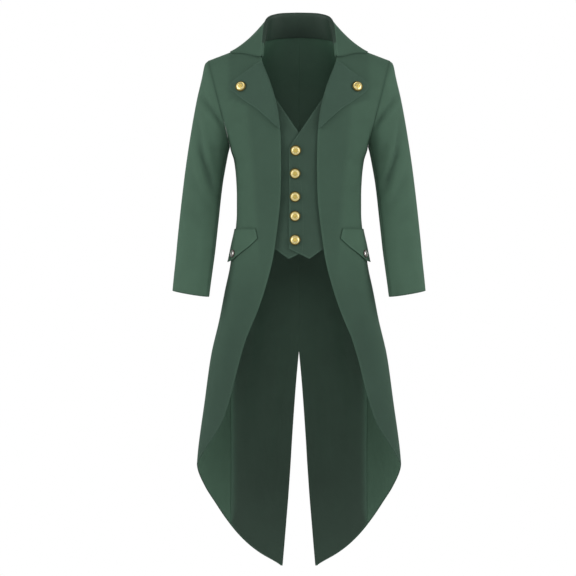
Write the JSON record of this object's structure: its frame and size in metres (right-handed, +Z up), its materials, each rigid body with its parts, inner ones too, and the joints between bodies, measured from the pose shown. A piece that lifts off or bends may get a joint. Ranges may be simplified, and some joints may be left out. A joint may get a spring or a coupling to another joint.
{
  "type": "cutaway tailcoat",
  "caption": "Knee-length cutaway tailcoat with a turned-down collar, pointed lapels, mock waistcoat, hip flaps and two tails, filled out as if worn.",
  "frame": {"origin": "middle of the neck opening, level with the neck ends of the shoulder seams, where the wearer's neck and shoulders hold the coat", "axes": "+Z up, the front faces -Y, the wearer's left is +X"},
  "size_m": [0.631, 0.2735, 1.3806],
  "materials": {
    "coat_cloth": "matte smooth cloth with a fine twill and a soft low sheen",
    "lapel_cloth": "the coat's cloth with its nap the other way, a little duller",
    "waistcoat_cloth": "matte smooth cloth, a little darker than the coat",
    "lining": "dark plain lining with a faint sheen",
    "gold_metal": "polished gold colour with a darker rim",
    "silver_metal": "polished silver colour with a darker rim"
  },
  "bodies": {
    "root": {"front_left": "coat_cloth", "front_right": "coat_cloth", "back_left": "coat_cloth", "back_right": "coat_cloth", "back_lining_left": "lining", "back_lining_right": "lining", "top_sleeve_left": "coat_cloth", "top_sleeve_right": "coat_cloth", "under_sleeve_left": "coat_cloth", "under_sleeve_right": "coat_cloth", "collar": "coat_cloth", "stand_facing": "lining", "lapel_left": "lapel_cloth", "lapel_right": "lapel_cloth", "vest_left": "waistcoat_cloth", "vest_right": "waistcoat_cloth", "flap_left": "coat_cloth", "flap_right": "coat_cloth", "vest_button_1": "gold_metal", "vest_button_2": "gold_metal", "vest_button_3": "gold_metal", "vest_button_4": "gold_metal", "vest_button_5": "gold_metal", "lapel_button_left": "gold_metal", "lapel_button_right": "gold_metal", "flap_button_left": "silver_metal", "flap_button_right": "silver_metal"}
  },
  "joints": []
}
